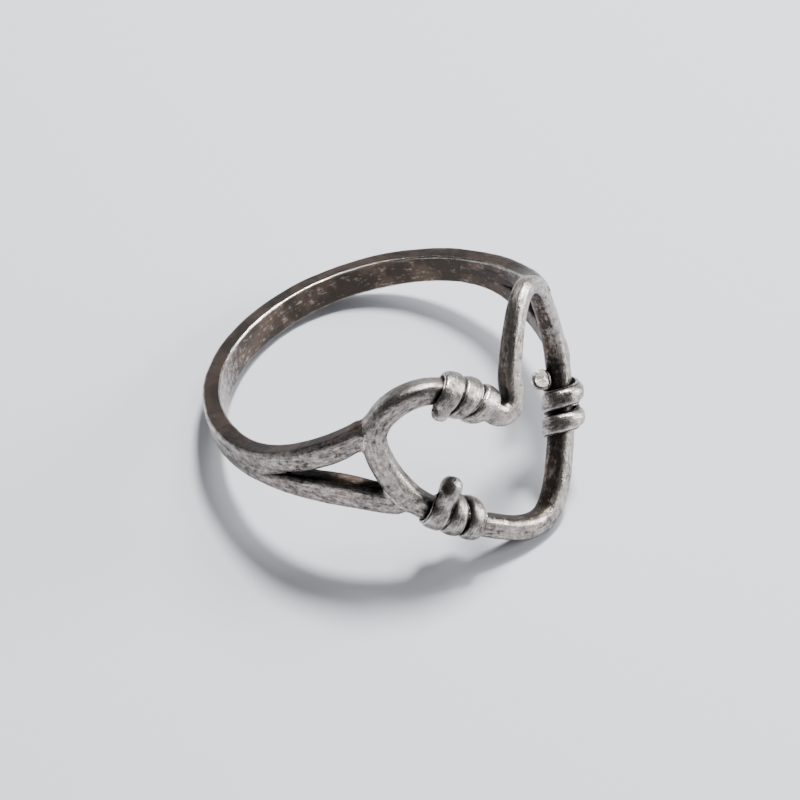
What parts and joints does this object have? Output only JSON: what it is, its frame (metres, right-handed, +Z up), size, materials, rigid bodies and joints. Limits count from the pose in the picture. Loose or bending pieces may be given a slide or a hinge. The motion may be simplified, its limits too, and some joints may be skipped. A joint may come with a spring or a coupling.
{
  "type": "wire heart finger ring",
  "caption": "Oxidised silver finger ring lying on its side: a forked band holds an open heart of bent round wire, lashed with short wraps of wire.",
  "frame": {"origin": "on the table, under the middle of the ring as it lies on its side: it rests on the heart's point and on the back of the band", "axes": "+Z up from the table, +X from the back of the band towards the heart, +Y towards the heart's right lobe; the finger's axis leans 20.15 degrees from +Z towards -X"},
  "size_m": [0.0208, 0.0194, 0.0124],
  "materials": {
    "band_silver": "oxidised silver, hand rubbed, darker beside the finger's edge and in the fork",
    "wire_silver": "oxidised silver, rubbed bright on its crown, dark on its flanks",
    "wrap_silver": "oxidised silver, rubbed bright outside, black between the turns",
    "solder": "hard silver solder, dark grey"
  },
  "bodies": {
    "root": {"shank": "band_silver", "left_seam_solder": "solder", "right_seam_solder": "solder", "heart_wire": "wire_silver", "left_upper_arm": "band_silver", "left_lower_arm": "band_silver", "right_upper_arm": "band_silver", "right_lower_arm": "band_silver", "left_upper_arm_solder": "solder", "left_lower_arm_solder": "solder", "right_upper_arm_solder": "solder", "right_lower_arm_solder": "solder", "left_fork_solder": "solder", "right_fork_solder": "solder", "cleft_wrap": "wrap_silver", "point_wrap": "wrap_silver", "side_wrap": "wrap_silver"}
  },
  "joints": []
}
